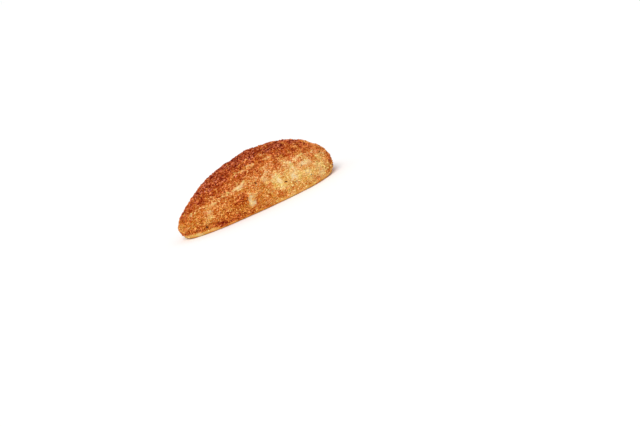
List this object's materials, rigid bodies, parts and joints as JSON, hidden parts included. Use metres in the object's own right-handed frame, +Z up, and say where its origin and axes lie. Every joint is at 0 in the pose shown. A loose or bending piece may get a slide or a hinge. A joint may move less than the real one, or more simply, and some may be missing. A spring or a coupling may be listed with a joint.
{
  "type": "cheese pie",
  "caption": "Egg-shaped baked cheese pie for one person, flat underneath, with a browned crumb crust over pale dough.",
  "frame": {"origin": "on the flat base, under the middle of the pie's bounding box", "axes": "+X towards the broad end, along the longest extent; +Y across; +Z up, from the flat base to the domed top"},
  "size_m": [0.1504, 0.0749, 0.0459],
  "materials": {
    "crumb_crust": "dry matt crust of fine toasted crumbs, reddish brown on top and golden to cream lower down"
  },
  "bodies": {
    "root": {"cheese_pie": "crumb_crust"}
  },
  "joints": []
}
